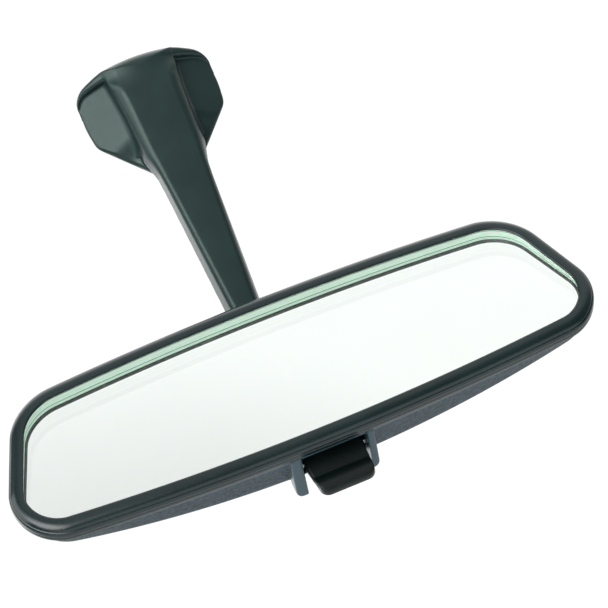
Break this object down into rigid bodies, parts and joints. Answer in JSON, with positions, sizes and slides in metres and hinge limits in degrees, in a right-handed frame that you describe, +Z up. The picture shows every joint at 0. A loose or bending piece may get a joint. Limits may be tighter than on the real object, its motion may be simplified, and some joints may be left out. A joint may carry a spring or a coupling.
{
  "type": "interior rearview mirror",
  "caption": "Interior rearview mirror: wedge glass in a tapering case with a day and night flip lever, on a ball joint at the end of a windscreen-bonded arm.",
  "frame": {"origin": "centre of the windscreen side of the adhesive pad on the mounting button", "axes": "+Z up in the glass plane, +X across the head, +Y towards the windscreen; the reflecting face looks along -Y"},
  "size_m": [0.2352, 0.0699, 0.2304],
  "materials": {
    "adhesive_pad": "matte",
    "windscreen_button": "satin",
    "foot_spring": "bright",
    "foot_plate": "zinc plated",
    "foot_screws": "zinc plated",
    "arm": "fine satin",
    "arm_cover": "fine satin",
    "cover_screws": "black zinc",
    "ball_stud": "polished",
    "stud_washer": "zinc plated",
    "stud_nut": "zinc plated",
    "ball_seat_rear": "natural acetal",
    "ball_seat_front": "natural acetal",
    "carrier": "die cast",
    "clamp_plate": "spring steel",
    "clamp_screws": "zinc plated",
    "case_shell": "fine leather grain",
    "bezel": "satin",
    "mirror_glass": "polished",
    "mirror_coating": "silvered",
    "glass_pad": "closed-cell foam",
    "hinge_bracket": "glass-filled nylon",
    "bracket_screws": "zinc plated",
    "hinge_rod": "ground",
    "lever_pin": "ground",
    "detent_spring": "spring steel",
    "spring_screw": "zinc plated",
    "flip_lever": "satin",
    "drive_pin": "ground"
  },
  "bodies": {
    "stay": {"adhesive_pad": "adhesive_pad", "windscreen_button": "windscreen_button", "foot_spring": "foot_spring", "foot_plate": "foot_plate", "foot_screws": "foot_screws", "arm": "arm", "arm_cover": "arm_cover", "cover_screws": "cover_screws", "ball_stud": "ball_stud", "stud_washer": "stud_washer", "stud_nut": "stud_nut"},
    "rear_seat": {"ball_seat_rear": "ball_seat_rear"},
    "front_seat": {"ball_seat_front": "ball_seat_front"},
    "socket": {"carrier": "carrier", "clamp_plate": "clamp_plate", "clamp_screws": "clamp_screws"},
    "head": {"case_shell": "case_shell", "bezel": "bezel", "mirror_glass": "mirror_glass", "mirror_coating": "mirror_coating", "glass_pad": "glass_pad", "hinge_bracket": "hinge_bracket", "bracket_screws": "bracket_screws", "hinge_rod": "hinge_rod", "lever_pin": "lever_pin", "detent_spring": "detent_spring", "spring_screw": "spring_screw"},
    "lever": {"flip_lever": "flip_lever", "drive_pin": "drive_pin"}
  },
  "joints": [
    {"name": "swivel", "type": "hinge", "parent": "stay", "child": "rear_seat", "pos_m": [0, 0.00228, -0.15685], "axis": [0, 0, 1], "range_deg": [-15, 15]},
    {"name": "nod", "type": "hinge", "parent": "rear_seat", "child": "front_seat", "pos_m": [0, 0.00228, -0.15685], "axis": [1, 0, 0], "range_deg": [-12, 12]},
    {"name": "roll", "type": "hinge", "parent": "front_seat", "child": "socket", "pos_m": [0, 0.00228, -0.15685], "axis": [0, 1, 0], "range_deg": [-15, 15]},
    {"name": "dip", "type": "hinge", "parent": "socket", "child": "head", "pos_m": [0, -0.00572, -0.13485], "axis": [-1, 0, 0], "range_deg": [0, 4.21]},
    {"name": "lever_flip", "type": "hinge", "parent": "head", "child": "lever", "pos_m": [0, -0.00222, -0.19035], "axis": [-1, 0, 0], "range_deg": [0, 44], "deforming": ["detent_spring"]}
  ],
  "couplings": [
    {"joint": "lever_flip", "follows": "dip", "ratio": 10.458}
  ]
}
